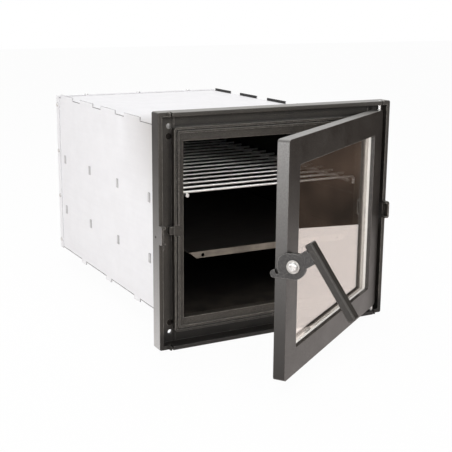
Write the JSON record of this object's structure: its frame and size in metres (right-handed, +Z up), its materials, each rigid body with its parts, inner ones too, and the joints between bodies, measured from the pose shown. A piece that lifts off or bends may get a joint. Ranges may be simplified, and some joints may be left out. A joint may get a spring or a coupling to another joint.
{
  "type": "masonry stove baking-oven insert with a glazed swing door",
  "caption": "Built-in baking-oven insert for a masonry stove: cast front frame, glazed swing door with a hook latch, sheet-steel casing, wire rack and shelf plate.",
  "frame": {"origin": "centre of the front frame's back face, which lies against the masonry", "axes": "+X to the right seen from the room, +Y into the masonry, +Z up"},
  "size_m": [0.41, 0.8572, 0.358],
  "materials": {
    "cast_frame": "cast iron with matt black stove paint",
    "latch_black": "matt black heat-proof paint",
    "bright_steel": "bright zinc-plated steel",
    "dark_steel": "blackened steel",
    "casing_sheet": "aluminised sheet steel, near-white outside and blackened inside",
    "plated_wire": "chrome-plated steel wire",
    "tray_sheet": "heat-browned bare sheet steel",
    "stove_glass": "clear ceramic stove glass",
    "ceramic_fibre": "white pressed ceramic-fibre tape",
    "glass_fibre_rope": "dark knitted glass-fibre rope"
  },
  "bodies": {
    "frame": {"front_frame": "cast_frame", "hinge_pin_top": "bright_steel", "hinge_pin_bottom": "bright_steel", "catch_pin": "bright_steel", "frame_screws": "dark_steel", "frame_nuts": "bright_steel", "side_panel_left": "casing_sheet", "side_panel_right": "casing_sheet", "top_panel": "casing_sheet", "bottom_panel": "casing_sheet", "rear_panel": "casing_sheet", "rear_panel_screws": "bright_steel", "runner_upper_left": "casing_sheet", "runner_upper_right": "casing_sheet", "runner_lower_left": "casing_sheet", "runner_lower_right": "casing_sheet", "wire_rack": "plated_wire", "shelf_plate": "tray_sheet"},
    "door": {"door_frame": "cast_frame", "door_glass": "stove_glass", "glass_gasket": "ceramic_fibre", "door_seal_rope": "glass_fibre_rope", "glass_clip_1": "dark_steel", "glass_clip_2": "dark_steel", "glass_clip_3": "dark_steel", "glass_clip_4": "dark_steel", "glass_clip_5": "dark_steel", "glass_clip_6": "dark_steel", "glass_clip_screws": "dark_steel", "friction_washer": "dark_steel", "pivot_washer": "bright_steel", "pivot_bolt": "bright_steel"},
    "latch": {"latch_lever": "latch_black", "latch_grip": "latch_black"}
  },
  "joints": [
    {"name": "door_swing", "type": "hinge", "parent": "frame", "child": "door", "pos_m": [0.186, -0.019, 0], "axis": [0, 0, 1], "range_deg": [-35, 75]},
    {"name": "latch_turn", "type": "hinge", "parent": "door", "child": "latch", "pos_m": [-0.11692, -0.25064, 0], "axis": [-0.8192, -0.5736, 0], "range_deg": [-12, 40]}
  ]
}
